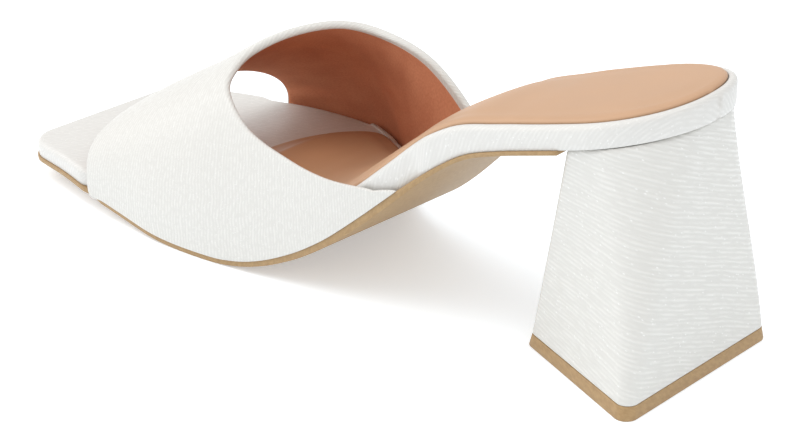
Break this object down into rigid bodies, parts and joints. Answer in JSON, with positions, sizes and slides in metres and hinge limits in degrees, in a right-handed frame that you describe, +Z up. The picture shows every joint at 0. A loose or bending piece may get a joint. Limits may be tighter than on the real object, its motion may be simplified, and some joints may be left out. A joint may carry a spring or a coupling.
{
  "type": "high-heeled mule sandal",
  "caption": "White square-toe mule sandal with one wide band, tan padded sock and a flared block heel.",
  "frame": {"origin": "middle of the shoe's bounding box in plan, at floor level", "axes": "+Z up from the floor, +Y from the toe to the heel, +X to the outer (lateral) side of this left shoe"},
  "size_m": [0.088, 0.24, 0.0773],
  "materials": {
    "heel_tip": "satin tan moulded tip",
    "heel_cover": "white shimmering ribbed textile",
    "sole_sheet": "satin tan sheet",
    "footbed_cover": "white shimmering ribbed textile",
    "sock": "smooth padded tan synthetic",
    "upper_fabric": "white shimmering ribbed textile, terracotta lining"
  },
  "bodies": {
    "root": {"top_piece": "heel_tip", "heel": "heel_cover", "outsole": "sole_sheet", "footbed": "footbed_cover", "insole_sock": "sock", "upper": "upper_fabric"}
  },
  "joints": []
}
